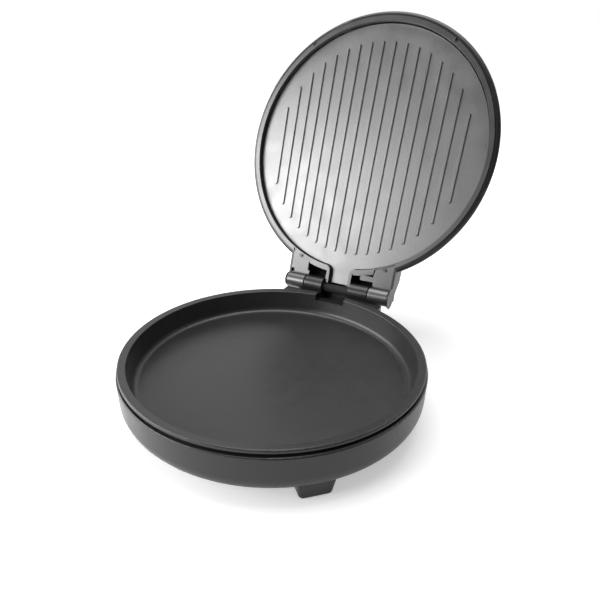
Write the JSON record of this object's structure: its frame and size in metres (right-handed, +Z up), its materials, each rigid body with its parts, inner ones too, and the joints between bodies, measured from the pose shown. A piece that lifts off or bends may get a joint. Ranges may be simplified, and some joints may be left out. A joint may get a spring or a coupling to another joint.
{
  "type": "electric pizza maker",
  "caption": "Round electric pizza maker: deep heated pan in a footed housing, under a domed lid with a ribbed heated plate on a rear hinge.",
  "frame": {"origin": "on the worktop, under the centre of the round pan", "axes": "+Z up, +Y towards the hinge at the rear, +X to the right seen from the front"},
  "size_m": [0.334, 0.4802, 0.3908],
  "materials": {
    "shell_plastic": "satin",
    "nonstick_lower": "satin, non-stick coated",
    "element_tube": "oxidised",
    "plated_steel": "satin",
    "screw_steel": "satin",
    "shield_sheet": "satin",
    "thermostat_case": "matte",
    "fuse_case": "satin",
    "ceramic": "matte",
    "cover_plastic": "matte",
    "foot_plastic": "satin",
    "pad_rubber": "matte",
    "pin_steel": "polished",
    "sleeve_rubber": "matte",
    "grommet_rubber": "matte",
    "frame_plastic": "satin",
    "nonstick_upper": "satin, non-stick coated",
    "screw_dark": "satin",
    "lens_red": "gloss",
    "lens_green": "gloss"
  },
  "bodies": {
    "base": {"base_housing": "shell_plastic", "lower_plate": "nonstick_lower", "lower_heating_element": "element_tube", "lower_element_clamps": "plated_steel", "lower_element_screws": "screw_steel", "lower_heat_shield": "shield_sheet", "lower_plate_screws": "screw_steel", "thermostat": "thermostat_case", "thermostat_bracket": "plated_steel", "thermal_fuse": "fuse_case", "terminal_block": "ceramic", "bottom_cover": "cover_plastic", "bottom_cover_screws": "screw_steel", "foot_front_left": "foot_plastic", "foot_front_right": "foot_plastic", "foot_rear_left": "foot_plastic", "foot_rear_right": "foot_plastic", "foot_pads": "pad_rubber", "foot_screws": "screw_steel", "hinge_pin_left": "pin_steel", "hinge_pin_right": "pin_steel", "hinge_sleeve": "sleeve_rubber", "cord_grommet": "grommet_rubber"},
    "lid": {"lid_frame": "frame_plastic", "lid_cover": "shell_plastic", "upper_plate": "nonstick_upper", "upper_heating_element": "element_tube", "upper_element_clamps": "plated_steel", "upper_element_screws": "screw_steel", "upper_heat_shield": "shield_sheet", "upper_shield_screws": "screw_steel", "upper_plate_screws": "screw_steel", "hinge_cover_left": "frame_plastic", "hinge_cover_right": "frame_plastic", "hinge_cover_screws": "screw_dark", "lid_handle": "shell_plastic", "power_light_lens": "lens_red", "ready_light_lens": "lens_green"}
  },
  "joints": [
    {"name": "lid_hinge", "type": "hinge", "parent": "base", "child": "lid", "pos_m": [0, 0.1785, 0.07], "axis": [1, 0, 0], "range_deg": [0, 108.6]}
  ]
}
